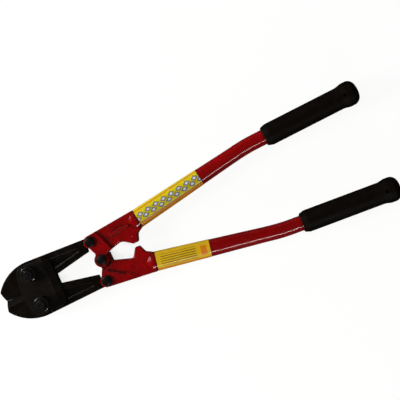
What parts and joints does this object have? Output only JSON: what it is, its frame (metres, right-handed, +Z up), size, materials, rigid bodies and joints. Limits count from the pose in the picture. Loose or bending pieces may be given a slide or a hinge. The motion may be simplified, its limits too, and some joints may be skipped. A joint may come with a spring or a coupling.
{
  "type": "bolt cutters",
  "caption": "Bolt cutters with forged jaws bolted between side plates, a toggle linkage and long red tube handles with black rubber grips.",
  "frame": {"origin": "under the middle of the tool's outline, on the surface that it lies on", "axes": "+X along the tool from the jaws to the grips, +Y towards the upper handle, +Z up"},
  "size_m": [0.4592, 0.147, 0.0359],
  "materials": {
    "jaw_steel": "satin black oxide",
    "plate_steel": "satin black oxide",
    "bolt_steel": "blackened steel",
    "red_forging": "gloss red paint",
    "red_tube": "gloss red paint",
    "grip_rubber": "moulded matt rubber",
    "upper_label_film": "printed film",
    "lower_label_film": "printed film"
  },
  "bodies": {
    "side_plates": {"front_side_plate": "plate_steel", "rear_side_plate": "plate_steel", "upper_jaw_bolt": "bolt_steel", "upper_jaw_washer": "bolt_steel", "upper_jaw_nut": "bolt_steel", "lower_jaw_bolt": "bolt_steel", "lower_jaw_washer": "bolt_steel", "lower_jaw_nut": "bolt_steel"},
    "upper_jaw": {"upper_jaw": "jaw_steel"},
    "lower_jaw": {"lower_jaw": "jaw_steel"},
    "upper_handle": {"upper_handle_head": "red_forging", "upper_handle_tube": "red_tube", "upper_grip": "grip_rubber", "upper_label": "upper_label_film", "upper_toggle_bolt": "bolt_steel", "upper_toggle_nut": "bolt_steel", "centre_bolt": "bolt_steel", "centre_nut": "bolt_steel"},
    "lower_handle": {"lower_handle_head": "red_forging", "lower_handle_tube": "red_tube", "lower_grip": "grip_rubber", "lower_label": "lower_label_film", "lower_toggle_bolt": "bolt_steel", "lower_toggle_nut": "bolt_steel"}
  },
  "joints": [
    {"name": "upper_jaw_hinge", "type": "hinge", "parent": "side_plates", "child": "upper_jaw", "pos_m": [-0.19013, 0.0183, 0.0144], "axis": [0, 0, 1], "range_deg": [-6.7, 0.1]},
    {"name": "lower_jaw_hinge", "type": "hinge", "parent": "side_plates", "child": "lower_jaw", "pos_m": [-0.19013, -0.0183, 0.0144], "axis": [0, 0, 1], "range_deg": [-0.1, 6.7]},
    {"name": "upper_handle_hinge", "type": "hinge", "parent": "upper_jaw", "child": "upper_handle", "pos_m": [-0.11433, 0.0237, 0.0144], "axis": [0, 0, 1], "range_deg": [-0.2, 51.6]},
    {"name": "lower_handle_hinge", "type": "hinge", "parent": "lower_jaw", "child": "lower_handle", "pos_m": [-0.11433, -0.0237, 0.0144], "axis": [0, 0, 1], "range_deg": [-51.6, 0.2]}
  ],
  "couplings": [
    {"joint": "upper_jaw_hinge", "follows": "upper_handle_hinge", "ratio": -0.129},
    {"joint": "lower_jaw_hinge", "follows": "upper_handle_hinge", "ratio": 0.129},
    {"joint": "lower_handle_hinge", "follows": "upper_handle_hinge", "ratio": -1}
  ]
}
